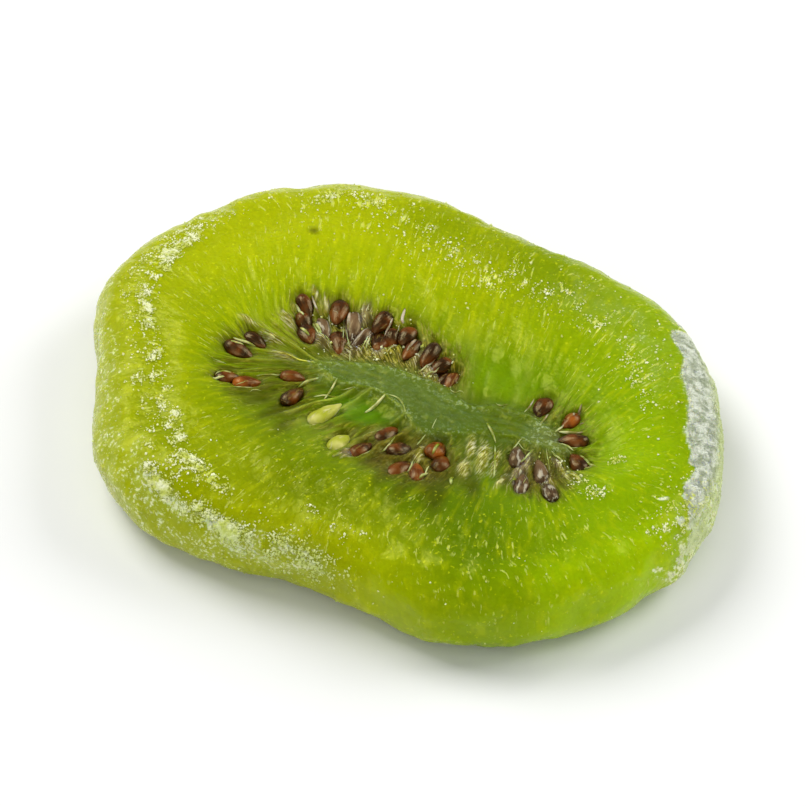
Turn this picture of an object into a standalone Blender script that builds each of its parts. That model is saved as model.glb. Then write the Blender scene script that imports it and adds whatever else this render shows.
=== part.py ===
"""One slice of dried kiwi: a flat, rounded disc of candied flesh, longer than it is wide.

The slice lies on its underside. X runs along the long way of its core, and Z points up through
its thickness. The origin is on the ground, under the middle of the slice.
"""

import math

import bmesh
import bpy

MM = 0.001

# Edge of the slice seen from above, at its widest: (direction in degrees, distance from the middle).
# The side at 88 degrees is nearly straight, and the dip at 268 degrees is a shallow notch.
OUTLINE = (
    (0, 24.3 * MM),
    (20, 22.7 * MM),
    (42, 21.4 * MM),
    (62, 19.0 * MM),
    (88, 18.1 * MM),
    (105, 19.5 * MM),
    (122, 21.6 * MM),
    (150, 23.2 * MM),
    (176, 23.9 * MM),
    (196, 21.6 * MM),
    (225, 21.7 * MM),
    (245, 19.5 * MM),
    (268, 17.5 * MM),
    (285, 18.4 * MM),
    (305, 21.9 * MM),
    (330, 24.0 * MM),
    (346, 24.7 * MM),
)

# Section through the rim.
THICKNESS = 7.0 * MM
RIM_INSET_MEAN = 3.8 * MM
RIM_INSET_SWING = 0.7 * MM
RIM_WIDEST_DIRECTION = math.radians(195)
RIM_SQUARENESS = 2.3

# Core and seed ring, two ellipses: (middle, half length along X, half width along Y).
CORE = ((3.5 * MM, -1.2 * MM), 9.8 * MM, 2.2 * MM)
SEED_RING = ((1.8 * MM, -1.9 * MM), 14.2 * MM, 7.1 * MM)

# Relief of the upper face.
FLESH_SWELL = 0.30 * MM
SEED_SINK = 0.65 * MM
CORE_SINK = 0.30 * MM
SEGMENTS = 30
SEGMENT_RIDGE = 0.16 * MM
WARP = 0.12 * MM

# Hollow of the underside, inside the flat band that it rests on.
UNDER_SEED_HOLLOW = 0.35 * MM
UNDER_CORE_HOLLOW = 0.15 * MM
REST_BAND_INSIDE = 2.15

# The face is measured outwards in steps: 0 the middle, 1 the core's edge, 2 the seed ring's
# outer edge, 3 the shoulder where the rim begins to round over.
SEED_RING_EDGE = 2
SHOULDER = 3

# Fineness of the mesh.
SPOKES = 4 * SEGMENTS
RIM_STEPS = 5
TOP_REACHES = (2.7, 2.4, 2.15, 2.0, 1.8, 1.6, 1.4, 1.2, 1.0, 0.75, 0.4)
UNDER_REACHES = (2.6, REST_BAND_INSIDE, 2.0, 1.75, 1.5, 1.25, 1.0, 0.5)

FLESH_COLOUR = (0.35, 0.47, 0.01)
FLESH_ROUGHNESS = 0.4
FLESH_METALLIC = 0.0


def clear_scene():
    for thing in list(bpy.data.objects):
        bpy.data.objects.remove(thing, do_unlink=True)


def smooth_step(low, high, value):
    """0 below low, 1 above high, and an even S between them."""
    t = min(max((value - low) / (high - low), 0.0), 1.0)
    return t * t * (3 - 2 * t)


def hump(low, high, value):
    """A smooth rise and fall: 0 at low and at high, 1 half way."""
    if not low < value < high:
        return 0.0
    return math.sin(math.pi * (value - low) / (high - low)) ** 2


def outline_radius(angle):
    """Distance from the middle to the edge, on a smooth closed curve through OUTLINE."""
    degrees = math.degrees(angle) % 360
    count = len(OUTLINE)
    after = next((i for i, (at, _) in enumerate(OUTLINE) if at > degrees), count)

    def point(index):
        turns, place = divmod(index, count)
        at, radius = OUTLINE[place]
        return at + 360 * turns, radius

    (a0, r0), (a1, r1), (a2, r2), (a3, r3) = (point(after + step) for step in (-2, -1, 0, 1))
    span = a2 - a1
    t = (degrees - a1) / span
    slope_1 = (r2 - r0) / (a2 - a0) * span
    slope_2 = (r3 - r1) / (a3 - a1) * span
    start = (1 + 2 * t) * (1 - t) ** 2 * r1 + t * (1 - t) ** 2 * slope_1
    end = t * t * (3 - 2 * t) * r2 - t * t * (1 - t) * slope_2
    return start + end


def outline_point(angle, inset):
    """A point on the outline, moved towards the middle by inset."""
    radius = outline_radius(angle) - inset
    return radius * math.cos(angle), radius * math.sin(angle)


def rim_inset(angle):
    """How far in from the edge the shoulder lies."""
    return RIM_INSET_MEAN + RIM_INSET_SWING * math.cos(angle - RIM_WIDEST_DIRECTION)


def ellipse_point(angle, ellipse):
    (x, y), half_length, half_width = ellipse
    return x + half_length * math.cos(angle), y + half_width * math.sin(angle)


def face_point(reach, angle):
    """The place on the face at a reach from 0 to 3, by blending the nested outlines."""
    nested = (
        CORE[0],
        ellipse_point(angle, CORE),
        ellipse_point(angle, SEED_RING),
        outline_point(angle, rim_inset(angle)),
    )
    inner = min(int(reach), SHOULDER - 1)
    t = reach - inner
    (x0, y0), (x1, y1) = nested[inner], nested[inner + 1]
    return x0 + (x1 - x0) * t, y0 + (y1 - y0) * t


def top_height(reach, angle):
    """Height of the upper face: swollen flesh, a sunk seed ring with ridges, a low core."""
    seeds = hump(0.8, 2.3, reach)
    core = 1 - smooth_step(0.6, 1.1, reach)
    flesh = hump(SEED_RING_EDGE, SHOULDER, reach)
    ridges = hump(1.0, 2.1, reach) * math.cos(SEGMENTS * angle)
    warp = smooth_step(1.0, 2.5, reach) * (1 - smooth_step(2.7, SHOULDER, reach))
    waves = math.sin(2 * angle + 0.6) + 0.5 * math.sin(5 * angle)
    sink = SEED_SINK * seeds + CORE_SINK * core
    return THICKNESS + FLESH_SWELL * flesh - sink + SEGMENT_RIDGE * ridges + WARP * warp * waves


def under_height(reach):
    """Height of the underside: flat on the ground outside the seed ring, hollow within it."""
    inside = 1 - smooth_step(1.75, REST_BAND_INSIDE, reach)
    core = 1 - smooth_step(0.5, 1.25, reach)
    return UNDER_SEED_HOLLOW * inside - (UNDER_SEED_HOLLOW - UNDER_CORE_HOLLOW) * core


def face_ring(reach, height_of):
    angles = [math.tau * spoke / SPOKES for spoke in range(SPOKES)]
    return [(*face_point(reach, angle), height_of(angle)) for angle in angles]


def rim_ring(tilt):
    """One ring of the rounded rim: tilt runs from -90 degrees, underneath, to +90, on top."""
    out = abs(math.cos(tilt)) ** (2 / RIM_SQUARENESS)
    up = math.copysign(abs(math.sin(tilt)) ** (2 / RIM_SQUARENESS), tilt)
    ring = []
    for spoke in range(SPOKES):
        angle = math.tau * spoke / SPOKES
        inset = rim_inset(angle) * (1 - out)
        ring.append((*outline_point(angle, inset), THICKNESS / 2 * (1 + up)))
    return ring


def slice_rings():
    """All rings of the surface, from the middle of the underside, round the rim, to the top."""
    under = [face_ring(reach, lambda angle: under_height(reach)) for reach in UNDER_REACHES]
    tilts = [math.pi / 2 * step / RIM_STEPS for step in range(-RIM_STEPS, RIM_STEPS + 1)]
    rim = [rim_ring(tilt) for tilt in tilts]
    top = [face_ring(reach, lambda angle: top_height(reach, angle)) for reach in TOP_REACHES]
    return under[::-1] + rim + top


def centred(points):
    """The same points with the middle of their extent over the origin."""
    shift = [(max(axis) + min(axis)) / 2 for axis in list(zip(*points))[:2]]
    return [(x - shift[0], y - shift[1], z) for x, y, z in points]


def build_slice():
    rings = slice_rings()
    under_middle = (*CORE[0], under_height(0))
    top_middle = (*CORE[0], top_height(0, 0))
    points = [under_middle] + [point for ring in rings for point in ring] + [top_middle]

    shape = bmesh.new()
    corners = [shape.verts.new(point) for point in centred(points)]
    first, last = corners[0], corners[-1]
    loops = [corners[1 + SPOKES * i : 1 + SPOKES * (i + 1)] for i in range(len(rings))]
    for spoke in range(SPOKES):
        following = (spoke + 1) % SPOKES
        shape.faces.new((first, loops[0][following], loops[0][spoke]))
        shape.faces.new((last, loops[-1][spoke], loops[-1][following]))
        for inner, outer in zip(loops, loops[1:]):
            shape.faces.new((inner[spoke], inner[following], outer[following], outer[spoke]))

    mesh = bpy.data.meshes.new("slice")
    shape.to_mesh(mesh)
    shape.free()
    mesh.shade_smooth()
    mesh.materials.append(flesh_material())
    body = bpy.data.objects.new("slice", mesh)
    bpy.context.scene.collection.objects.link(body)
    return body


def flesh_material():
    material = bpy.data.materials.new("candied_flesh")
    material.use_nodes = True
    shader = material.node_tree.nodes["Principled BSDF"]
    shader.inputs["Base Color"].default_value = (*FLESH_COLOUR, 1)
    shader.inputs["Roughness"].default_value = FLESH_ROUGHNESS
    shader.inputs["Metallic"].default_value = FLESH_METALLIC
    return material


clear_scene()
build_slice()
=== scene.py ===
import math

import bpy
import numpy as np
from mathutils import Matrix, Vector
from mathutils.bvhtree import BVHTree


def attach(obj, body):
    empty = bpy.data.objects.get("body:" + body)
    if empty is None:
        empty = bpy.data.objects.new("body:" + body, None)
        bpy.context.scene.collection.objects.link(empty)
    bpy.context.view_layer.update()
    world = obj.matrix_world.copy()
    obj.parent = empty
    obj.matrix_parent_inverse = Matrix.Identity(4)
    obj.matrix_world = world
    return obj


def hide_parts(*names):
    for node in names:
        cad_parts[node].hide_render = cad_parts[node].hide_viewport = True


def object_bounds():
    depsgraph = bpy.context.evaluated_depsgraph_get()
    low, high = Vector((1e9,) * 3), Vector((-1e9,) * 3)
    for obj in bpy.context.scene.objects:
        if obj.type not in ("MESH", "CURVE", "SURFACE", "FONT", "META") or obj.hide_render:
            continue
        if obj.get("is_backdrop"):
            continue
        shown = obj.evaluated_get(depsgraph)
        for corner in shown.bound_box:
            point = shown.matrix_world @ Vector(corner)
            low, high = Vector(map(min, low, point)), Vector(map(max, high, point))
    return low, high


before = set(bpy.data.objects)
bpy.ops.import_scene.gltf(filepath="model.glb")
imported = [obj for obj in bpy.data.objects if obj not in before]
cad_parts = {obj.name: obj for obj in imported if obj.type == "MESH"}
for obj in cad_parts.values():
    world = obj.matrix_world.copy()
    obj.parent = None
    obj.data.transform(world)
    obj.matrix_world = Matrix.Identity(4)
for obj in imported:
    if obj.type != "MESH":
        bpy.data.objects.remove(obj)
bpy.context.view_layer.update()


# ---------------------------------------------------------------- the slice of flesh
# A slice cut across a peeled fruit, soaked in syrup and dried until it is a firm, clear jelly. Its
# rim has shrunk round, its seed ring has sunk, and the walls between the seed cells stand up as
# fine ridges. It is one piece, so it is one closed mesh, skinned over nested outlines.

MM = 0.001

# A place on the skin is given by its way from the core: 0 on the core's spine, 1 at the core's
# edge, 2 at the seed ring's outer edge, 3 at the shoulder, 4 half way down the rim, 5 at the
# rim's foot, and on to 8 under the spine. Its reach is the same, counted back from the foot to 0.
RING_EDGE, SHOULDER, RIM_MIDDLE, FOOT, UNDER_SPINE = 2, 3, 4, 5, 8

# The core winds a little, and is widest right of its middle: (x, y, half width) in millimetres.
CORE = (
    (-6.8, -1.3, 0.3), (-4.6, -1.4, 1.1), (-1.6, -0.9, 1.35), (0.8, -1.2, 1.8), (2.6, -2.3, 2.5),
    (4.2, -2.7, 2.2), (6.8, -2.0, 1.8), (8.6, -1.2, 1.4), (11.0, -1.3, 1.1), (12.6, -2.0, 0.9),
    (14.0, -2.4, 0.3),
)
SPINE_SHARE = 0.72
RING_MIDDLE, RING_HALVES = (1.5 * MM, -2.2 * MM), (14.2 * MM, 7.1 * MM)

SHOULDER_HEIGHT = 7.0 * MM
RIM_INSET_MEAN, RIM_INSET_SWING = 3.8 * MM, 0.7 * MM
RIM_WIDEST = math.radians(195)
RIM_SQUARENESS = 2.3
RIM_WAVES_KEPT = 26

# Relief of the face: how far its parts swell, sink or rise.
FLESH_SWELL, RING_SINK, CORE_SINK = 0.25 * MM, 0.56 * MM, 0.42 * MM
CELLS, WALL_RISE, STRAND_RISE = 34, 0.16 * MM, 0.05 * MM
RAY_RISE, HAIR_RISE, WARP_RISE, RIPPLE_RISE = 0.020 * MM, 0.03 * MM, 0.07 * MM, 0.030 * MM
UNDERSIDE_SHARE = 0.55

# Lumps of the rim: (height, wavelength, how much shorter they are upwards than sideways).
LUMPS = ((0.12 * MM, 6 * MM, 1.6), (0.05 * MM, 1.7 * MM, 1), (0.013 * MM, 0.7 * MM, 1))

SPOKES = 480
CORE_RINGS, SEED_RINGS, FLESH_RINGS, RIM_RINGS, UNDER_RINGS = 12, 34, 36, 46, 36

angles = np.arange(SPOKES) / SPOKES * math.tau
outward = np.stack([np.cos(angles), np.sin(angles)], -1)


def unit(vectors):
    return vectors / np.linalg.norm(vectors, axis=1, keepdims=True)


def ripples(points, wavelength, seed, waves=28):
    """Smooth even noise of about one wavelength, mostly from -1 to 1."""
    draw = np.random.default_rng(seed)
    directions = unit(draw.normal(size=(waves, points.shape[-1])))
    turns = points @ (directions / (wavelength * draw.uniform(0.7, 1.5, (waves, 1)))).T
    phases = draw.uniform(0, math.tau, waves)
    return np.cos(turns * math.tau + phases).sum(-1) / math.sqrt(waves)


def round_noise(angle, wavelength, seed):
    """Noise that closes on itself round the slice; the wavelength is in radians."""
    return ripples(np.stack([np.cos(angle), np.sin(angle)], -1), wavelength, seed)


def smooth_step(low, high, value):
    t = np.clip((value - low) / (high - low), 0, 1)
    return t * t * (3 - 2 * t)


def bell(value, middle, width):
    return np.exp(-(((value - middle) / width) ** 2))


def facing(angle, degrees, full, width):
    """1 where an angle is within full degrees of a direction, falling to 0 at width degrees."""
    away = np.abs((np.degrees(angle) - degrees + 180) % 360 - 180)
    return 1 - smooth_step(full, width, away)


def apart(places, middle):
    return np.hypot(*(places - np.array(middle)).T)


def read(things, name, width=1, kind=float):
    """What every point, corner or face of a mesh holds under a name."""
    values = np.empty((len(things), width), kind)
    things.foreach_get(name, values.reshape(-1))
    return values if width > 1 else values[:, 0]


def rim_radius():
    """How far the solid's widest line lies from the origin at each spoke, its facets smoothed."""
    corners = read(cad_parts["slice"].data.vertices, "co", 3)
    widest = corners[np.abs(corners[:, 2] - SHOULDER_HEIGHT / 2) < 0.01 * MM]
    around = np.arctan2(widest[:, 1], widest[:, 0]) % math.tau
    order = np.argsort(around)
    radii = np.hypot(widest[order, 0], widest[order, 1])
    waves = np.fft.rfft(np.interp(angles, around[order], radii, period=math.tau))
    waves[RIM_WAVES_KEPT:] = 0
    return np.fft.irfft(waves, SPOKES)


def core_curve(length_share, width_share):
    """A closed curve round the core's spine, drawn in to the given shares of its size."""
    x, y, half_width = np.array(CORE).T * MM
    middle, half_length = (x[-1] + x[0]) / 2, (x[-1] - x[0]) / 2
    at = middle + half_length * length_share * np.cos(angles)
    side = np.sin(angles)
    side = np.sign(side) * smooth_step(0, 0.7, np.abs(side)) * (1 + 0.10 * round_noise(angles, 0.5, 2))
    shift = width_share * np.interp(at, x, half_width) * side
    steps = np.linspace(-1.2 * MM, 1.2 * MM, 7)
    rounded = np.mean([np.interp(at + step, x, y) for step in steps], 0)
    return np.stack([at, rounded + shift], -1)


edge = rim_radius()
inset = RIM_INSET_MEAN + RIM_INSET_SWING * np.cos(angles - RIM_WIDEST)
spine = core_curve(SPINE_SHARE, 0)
ring_swell = 1 + 0.04 * round_noise(angles, 0.9, 3)
ring_edge = np.array(RING_MIDDLE) + outward * np.array(RING_HALVES) * ring_swell[:, None]
nested = [spine, core_curve(1, 1), ring_edge, outward * (edge - inset)[:, None]]


def face_plan(reach):
    """Places on the face at one reach, blended between the nested outlines."""
    inner = min(int(reach), SHOULDER - 1)
    t = reach - inner
    return nested[inner] * (1 - t) + nested[inner + 1] * t


def seed_zone(reach):
    return smooth_step(0.8, 1.2, reach) * (1 - smooth_step(1.7, 2.3, reach))


def cell_walls(reach, angle):
    """The thin walls between seed cells: narrow radial ridges, uneven in place and height."""
    swing = angle * (CELLS / 2) + 1.1 * round_noise(angle, 0.5, 11)
    ridge = np.abs(np.cos(swing)) ** 6
    height = 0.65 + 0.35 * round_noise(angle, 0.3, 12)
    return seed_zone(reach) * ridge * np.clip(height, 0, 1.3)


# Seeds on the upper face: (kind, height in the pit, turn, places in millimetres).
PROUD, LEVEL, SUNK = 0.08 * MM, -0.06 * MM, -0.22 * MM
UPPER_SEEDS = (
    ("ripe", PROUD, 0, (
        (-11.8, -2.3), (-11.4, -5.2), (-7.2, -3.1), (-6.3, -4.9), (-6.7, 3.8), (-3.6, 4.2),
        (-1.4, 3.7), (0.8, 2.7), (13.3, -1.0),
    )),
    ("ripe", LEVEL, 0, (
        (-9.1, 3.4), (-8.7, 2.2), (1.9, 2.2), (-11.1, -0.9), (-8.0, 1.2), (2.6, -6.5), (0.2, -7.7),
        (-0.6, 2.8), (14.6, -2.8),
    )),
    ("ripe", SUNK, 0, (
        (-5.7, 1.5), (-3.0, 2.6), (-2.4, 3.2), (2.6, 1.4), (10.1, 1.3), (5.8, -6.5), (1.1, -5.4),
        (3.4, -8.2),
    )),
    ("filmed", PROUD, 0.5, ((10.4, -4.0),)),
    ("filmed", LEVEL, 0.4, ((11.8, -6.4), (12.5, -4.6))),
    ("filmed", PROUD, 0.2, ((14.1, -6.7),)),
    ("filmed", LEVEL, 0, ((-5.3, 3.2),)),
    ("filmed", SUNK, 0, ((-4.4, 2.1), (-7.2, 2.3))),
    ("russet", PROUD, 0, ((4.9, -5.4), (-9.9, -5.0))),
    ("russet", LEVEL, 0, ((4.7, -8.3), (3.1, 1.5), (12.5, 0.8))),
    ("unripe", LEVEL, -0.4, ((-3.6, -5.6), (-1.5, -7.6))),
)

# Seeds so deep in the jelly that they only show as dark streaks: (x, y) in millimetres.
BURIED_SEEDS = (
    (-9.3, -6.2), (-8.9, -5.2), (-8.2, -6.4), (-6.8, -7.0), (-6.0, -6.2), (-5.4, -7.9), (4.6, -10.6),
    (5.4, -8.8), (6.2, -9.6), (7.0, -8.4), (7.8, -7.2), (9.0, -8.3), (7.2, -10.6), (1.8, -8.2),
    (3.0, -9.8), (2.2, -6.2), (3.8, -6.6),
)
BURIED_LENGTH, BURIED_WIDTH, BURIED_SHADE = 3.4 * MM, 1.3 * MM, 0.9

# One dark speck on the far side: its place, radius and shade.
SPECK_PLACE, SPECK_RADIUS, SPECK_SHADE = (-11.6 * MM, 10.2 * MM), 0.3 * MM, 1.5

SEED_SIZES = {
    "ripe": (2.35 * MM, 1.32 * MM),
    "filmed": (2.7 * MM, 1.15 * MM),
    "russet": (2.25 * MM, 1.32 * MM),
    "unripe": (2.9 * MM, 1.3 * MM),
}
SEED_SHADES = {"ripe": 1.0, "filmed": 0.8, "russet": 0.8, "unripe": 0.1}
SMALLEST_SEED, LARGEST_SEED = (0.78, 0.85), (1.08, 1.1)
SEED_DEPTH = 1.0 * MM
SEED_TWIST = 0.22
SEED_PIT, SEED_LIP = 0.40 * MM, 0.05 * MM
NEAR_SEED = 1.7 * MM
UNDER_SEEDS = 40


def seed_heading(place):
    """Seeds point at the core's spine, so their long way runs straight out from it."""
    away = place - spine
    nearest = away[np.argmin(apart(away, (0, 0)))]
    return math.atan2(nearest[1], nearest[0])


def new_seed(kind, upper, place, turned, draw):
    """A seed, but for its height: (kind, on the upper face or not, place, heading, size)."""
    heading = seed_heading(place) + turned + draw.normal(0, SEED_TWIST)
    size = np.array(SEED_SIZES[kind]) * draw.uniform(SMALLEST_SEED, LARGEST_SEED)
    return kind, upper, place, heading, size


# Every seed, as (kind, on the upper face or not, place, heading, size, height in its pit).
seeds = []
draw = np.random.default_rng(5)
for kind, height, turned, places in UPPER_SEEDS:
    for place in np.array(places) * MM:
        seeds.append((*new_seed(kind, True, place, turned, draw), height))
for step in range(UNDER_SEEDS):
    spoke = int((step + draw.uniform(-0.25, 0.25)) * SPOKES / UNDER_SEEDS) % SPOKES
    place = face_plan(draw.choice([1.3, 1.65]) + draw.uniform(-0.12, 0.12))[spoke]
    kind = draw.choice(["ripe", "russet", "unripe"], p=[0.74, 0.18, 0.08])
    seeds.append((*new_seed(kind, False, place, 0, draw), draw.choice([PROUD, LEVEL, SUNK])))


def from_seed(places, middle, heading, length, width):
    """How far places lie from the middle of a seed: 1 on its outline."""
    away = places - middle
    along = away[:, 0] * math.cos(heading) + away[:, 1] * math.sin(heading)
    across = away[:, 1] * math.cos(heading) - away[:, 0] * math.sin(heading)
    return np.hypot(along / (0.5 * length), across / (0.5 * width))


def seed_pits(places, upper):
    """For each place: how deep seeds press it in, how much shade they paint on it and how near they are.
    """
    pit, shade, near = np.zeros((3, len(places)))
    for kind, on_top, place, heading, (length, width), _ in seeds:
        if on_top == upper:
            distance = from_seed(places, place, heading, length, width)
            pit += SEED_PIT * np.exp(-((distance / 1.05) ** 4)) - SEED_LIP * bell(distance, 1.4, 0.3)
            # Painted shade round each seed, where it keeps light from the jelly round it.
            shade += SEED_SHADES[kind] * bell(distance, 0, 1.15)
            near += bell(apart(places, place), 0, NEAR_SEED)
    for place in np.array(BURIED_SEEDS) * MM:
        distance = from_seed(places, place, seed_heading(place), BURIED_LENGTH, BURIED_WIDTH)
        shade += BURIED_SHADE * bell(distance, 0, 0.85)
    shade += SPECK_SHADE * bell(apart(places, SPECK_PLACE), 0, SPECK_RADIUS) * upper
    return pit, 1 - np.exp(-1.2 * shade), 1 - np.exp(-near)


# A large cell on the near side of the core, clear and green, that has lost its seeds.
POCKET, POCKET_DEPTH = ((-1.6 * MM, -4.1 * MM), (2.9 * MM, 1.3 * MM)), 0.4 * MM

# Soft cell tissue between the seeds, dried to plump strips that point at the core: (x, y, length,
# width) in millimetres.
STRIPS = (
    (-9.0, 4.7, 1.3, 0.4), (-9.6, 1.6, 1.8, 0.7), (-7.0, 1.1, 2.4, 1.0), (-7.8, 4.0, 1.2, 0.4),
    (-4.9, 4.3, 2.0, 0.9), (-4.3, 1.1, 1.6, 1.4), (-2.7, 1.8, 1.4, 0.8), (0.3, 2.0, 1.7, 0.8),
    (1.6, 1.3, 1.3, 0.6), (8.4, -5.3, 3.4, 1.0), (7.2, -4.6, 2.2, 0.6), (7.6, -6.8, 1.8, 0.8),
    (9.4, -5.4, 2.8, 0.5), (10.5, -7.0, 1.8, 0.4), (11.2, -5.2, 3.4, 0.8), (13.4, -5.6, 2.6, 0.7),
    (14.2, -4.4, 1.8, 0.4), (15.1, -4.6, 1.6, 0.35), (13.3, -3.6, 1.4, 0.4), (4.2, -6.9, 2.2, 0.6),
    (-0.4, -8.7, 1.6, 0.7), (-12.2, 0.2, 1.4, 0.5), (-10.1, -0.4, 2.0, 0.8), (-8.6, -1.6, 1.8, 0.8),
)
STRIP_RISE = 0.26 * MM

# Brown, purplish tissue fills the gaps where the seeds are crowded: (x, y, half length, half width).
HUSKS = ((-3.6, 2.3, 5.0, 2.4), (1.8, 1.6, 2.0, 1.4), (12.6, -5.2, 2.8, 2.3), (3.4, -7.4, 4.0, 2.4))

# On the far side, right of the middle, no seeds formed, and the green is clear up to the core.
BARE = ((7.0 * MM, 2.6 * MM), (3.9 * MM, 2.2 * MM))


def patch_at(places, middle, halves):
    """1 within an oval patch, falling smoothly to 0 outside it."""
    across = (places - np.array(middle)) / np.array(halves)
    return np.exp(-((across**2).sum(-1) ** 2))


def strips_at(places):
    """1 along the strips of tissue, 0 away from them."""
    total = np.zeros(len(places))
    for *middle, length, width in np.array(STRIPS) * MM:
        distance = from_seed(places, middle, seed_heading(middle), length, width)
        total += np.exp(-(distance**3))
    return np.clip(total, 0, 1)


def husks_at(places):
    return np.max([patch_at(places, husk[:2], husk[2:]) for husk in np.array(HUSKS) * MM], axis=0)


def face_relief(reach, places, depth):
    """Height of a face over its shoulder."""
    relief = FLESH_SWELL * np.sin(math.pi * np.clip(reach - RING_EDGE, 0, 1)) ** 2
    relief -= RING_SINK * depth * seed_zone(reach)
    relief -= CORE_SINK * depth * (1 - smooth_step(0.7, 1.4, reach))
    relief += WALL_RISE * depth * cell_walls(reach, angles)
    strands = ripples(np.column_stack([outward, np.full(SPOKES, reach * 0.12)]), 0.07, 25)
    relief += STRAND_RISE * depth * seed_zone(reach) * strands
    flat = 1 - smooth_step(2.7, SHOULDER, reach)
    relief += WARP_RISE * flat * ripples(places, 9 * MM, 21)
    relief += RIPPLE_RISE * ripples(places, 2.6 * MM, 22)
    rays = np.column_stack([outward * 2, np.full(SPOKES, reach * 0.4)])
    relief += RAY_RISE * smooth_step(1.6, 2.2, reach) * flat * ripples(rays, 0.11, 23)
    lengthways = places / np.array([2.2, 1.0])
    relief += HAIR_RISE * (1 - smooth_step(0.7, 1.1, reach)) * ripples(lengthways, 0.6 * MM, 24)
    return relief


def upper_ring(way):
    places = face_plan(way)
    pit, shade, near = seed_pits(places, True)
    height = SHOULDER_HEIGHT + face_relief(way, places, 1.0) - pit
    height += STRIP_RISE * strips_at(places) - POCKET_DEPTH * patch_at(places, *POCKET)
    return places, height, shade, near


def rim_ring(way):
    tilt = math.pi / 2 * (RIM_MIDDLE - way)
    out = abs(math.cos(tilt)) ** (2 / RIM_SQUARENESS)
    up = math.copysign(abs(math.sin(tilt)) ** (2 / RIM_SQUARENESS), tilt)
    places = outward * (edge - inset * (1 - out))[:, None]
    return places, np.full(SPOKES, SHOULDER_HEIGHT / 2 * (1 + up)), np.zeros(SPOKES), np.zeros(SPOKES)


def under_ring(way):
    reach = UNDER_SPINE - way
    places = face_plan(reach)
    pit, shade, near = seed_pits(places, False)
    hollow = (pit - face_relief(reach, places, UNDERSIDE_SHARE)) * (1 - smooth_step(2.0, 2.5, reach))
    return places, np.maximum(0, hollow), shade, near


def mesh_object(name, points, faces):
    """An object of the given points and four-cornered faces, without the points no face uses."""
    used, faces = np.unique(faces, return_inverse=True)
    corners = [list(dict.fromkeys(face)) for face in faces.reshape(-1, 4).tolist()]
    mesh = bpy.data.meshes.new(name)
    mesh.from_pydata(points[used].tolist(), [], corners)
    mesh.update()
    mesh.shade_smooth()
    made = bpy.data.objects.new(name, mesh)
    bpy.context.scene.collection.objects.link(made)
    return made, used


def between_rings(numbers):
    """Quads that join each ring of numbered points to the next one."""
    following = np.roll(numbers, -1, axis=1)
    return np.stack([numbers[:-1], numbers[1:], following[1:], following[:-1]], -1).reshape(-1, 4)


def store_vectors(mesh, name, vectors):
    stored = mesh.attributes.new(name, "FLOAT_VECTOR", "POINT").data
    stored.foreach_set("vector", np.ascontiguousarray(vectors).reshape(-1))


def skin_rings():
    """Every ring of the skin as (way, its builder), from the upper spine to the lower one."""
    rings = [
        (way, upper_ring)
        for start, count in enumerate((CORE_RINGS, SEED_RINGS, FLESH_RINGS))
        for way in np.linspace(start, start + 1, count, endpoint=False)
    ]
    rings += [(way, rim_ring) for way in np.linspace(SHOULDER, FOOT, RIM_RINGS)]
    rings += [(way, under_ring) for way in np.linspace(FOOT, UNDER_SPINE, UNDER_RINGS + 1)[1:]]
    return rings


def build_flesh():
    """The slice's object, with what its finish needs stored at its points."""
    rings = skin_rings()
    rows = np.concatenate([np.column_stack(builder(way)) for way, builder in rings])
    way = np.repeat([way for way, _ in rings], SPOKES)
    angle = np.tile(angles, len(rings))

    numbers = np.arange(len(rows)).reshape(-1, SPOKES)
    folded = np.minimum(np.arange(SPOKES), SPOKES - np.arange(SPOKES)).clip(1, SPOKES // 2 - 1)
    numbers[0], numbers[-1] = numbers[0][folded], numbers[-1][folded]
    made, used = mesh_object("flesh", rows[:, :3], between_rings(numbers))
    points, (shade, near) = rows[used, :3], rows[used, 3:].T
    way, angle = way[used], angle[used]
    reach = np.minimum(way, UNDER_SPINE - way)

    normals = read(made.data.vertex_normals, "vector", 3)
    lumps = np.zeros(len(points))
    for seed, (height, wavelength, squash) in enumerate(LUMPS, 31):
        lumps += height * ripples(points * [1, 1, squash], wavelength, seed)
    points = points + normals * (smooth_step(2.75, 3.2, reach) * lumps)[:, None]
    points[:, 2] = np.maximum(points[:, 2], 0)
    made.data.vertices.foreach_set("co", points.astype(np.float32).reshape(-1))
    made.data.update()

    painted_glints, grains = sparkle_at(points, way, angle)
    places, on_top = points[:, :2], way < RIM_MIDDLE
    values = {
        "reach": reach,
        "seed_shade": shade,
        "near_seeds": near,
        "cell_wall": cell_walls(reach, angle),
        "strips": strips_at(places) * on_top,
        "husks": husks_at(places) * smooth_step(0.8, 1.2, way) * on_top,
        "pocket": patch_at(places, *POCKET) * on_top,
        "bare": patch_at(places, *BARE) * on_top,
        "frost": frost_at(points, way, angle),
        "sparkle": painted_glints,
        "sugar": grains,
        "depth": clouds_and_glow(points),
    }
    for name, numbers in values.items():
        made.data.attributes.new(name, "FLOAT", "POINT").data.foreach_set("value", numbers)
    store_vectors(made.data, "rays", np.column_stack([np.cos(angle), np.sin(angle), reach * 0.12]))
    return made
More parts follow.
